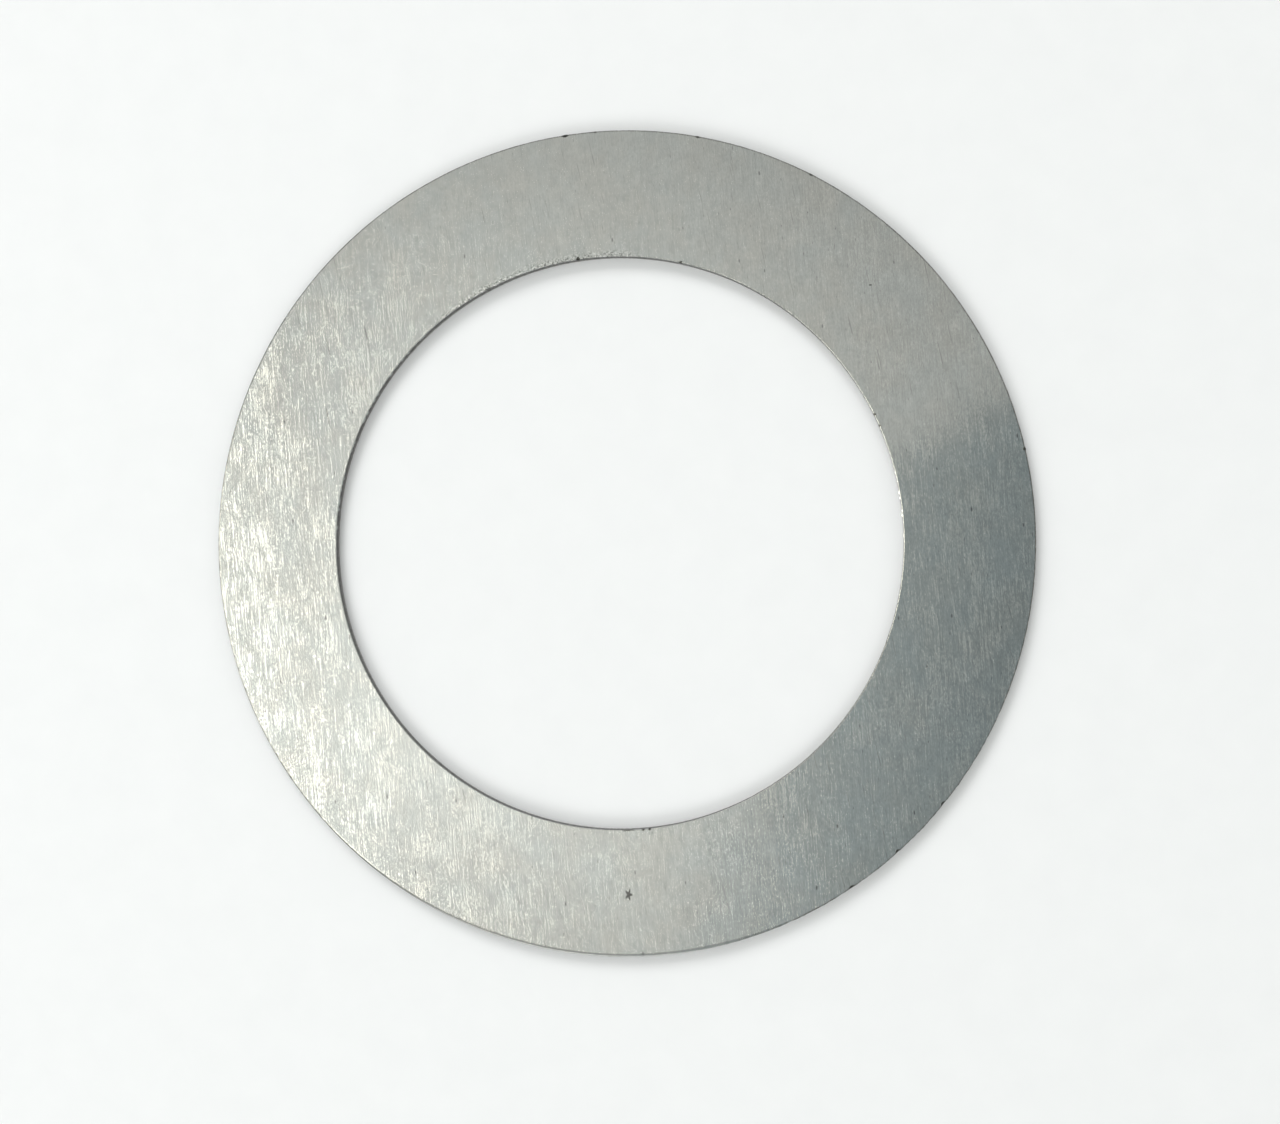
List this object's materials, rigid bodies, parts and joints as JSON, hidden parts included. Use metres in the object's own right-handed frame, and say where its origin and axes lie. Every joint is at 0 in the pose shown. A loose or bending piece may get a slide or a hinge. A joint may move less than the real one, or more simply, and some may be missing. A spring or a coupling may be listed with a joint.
{
  "type": "flat washer",
  "caption": "Thin flat steel washer of the shim-ring type: a plain blanked ring with a wide round bore and lengthwise-brushed faces, used as a spacer on a shaft or under a fastener.",
  "frame": {"origin": "on the bore's axis, on the plane of the bottom face", "axes": "+Z along the bore's axis, out of the face with the rolled edges; X and Y are in the plane of the ring, and the brushed grain runs close to Y"},
  "size_m": [0.036, 0.036, 0.0005],
  "materials": {
    "brushed_steel": "linear brushed grain, dull satin, with burred cut edges"
  },
  "bodies": {
    "root": {"flat_washer": "brushed_steel"}
  },
  "joints": []
}
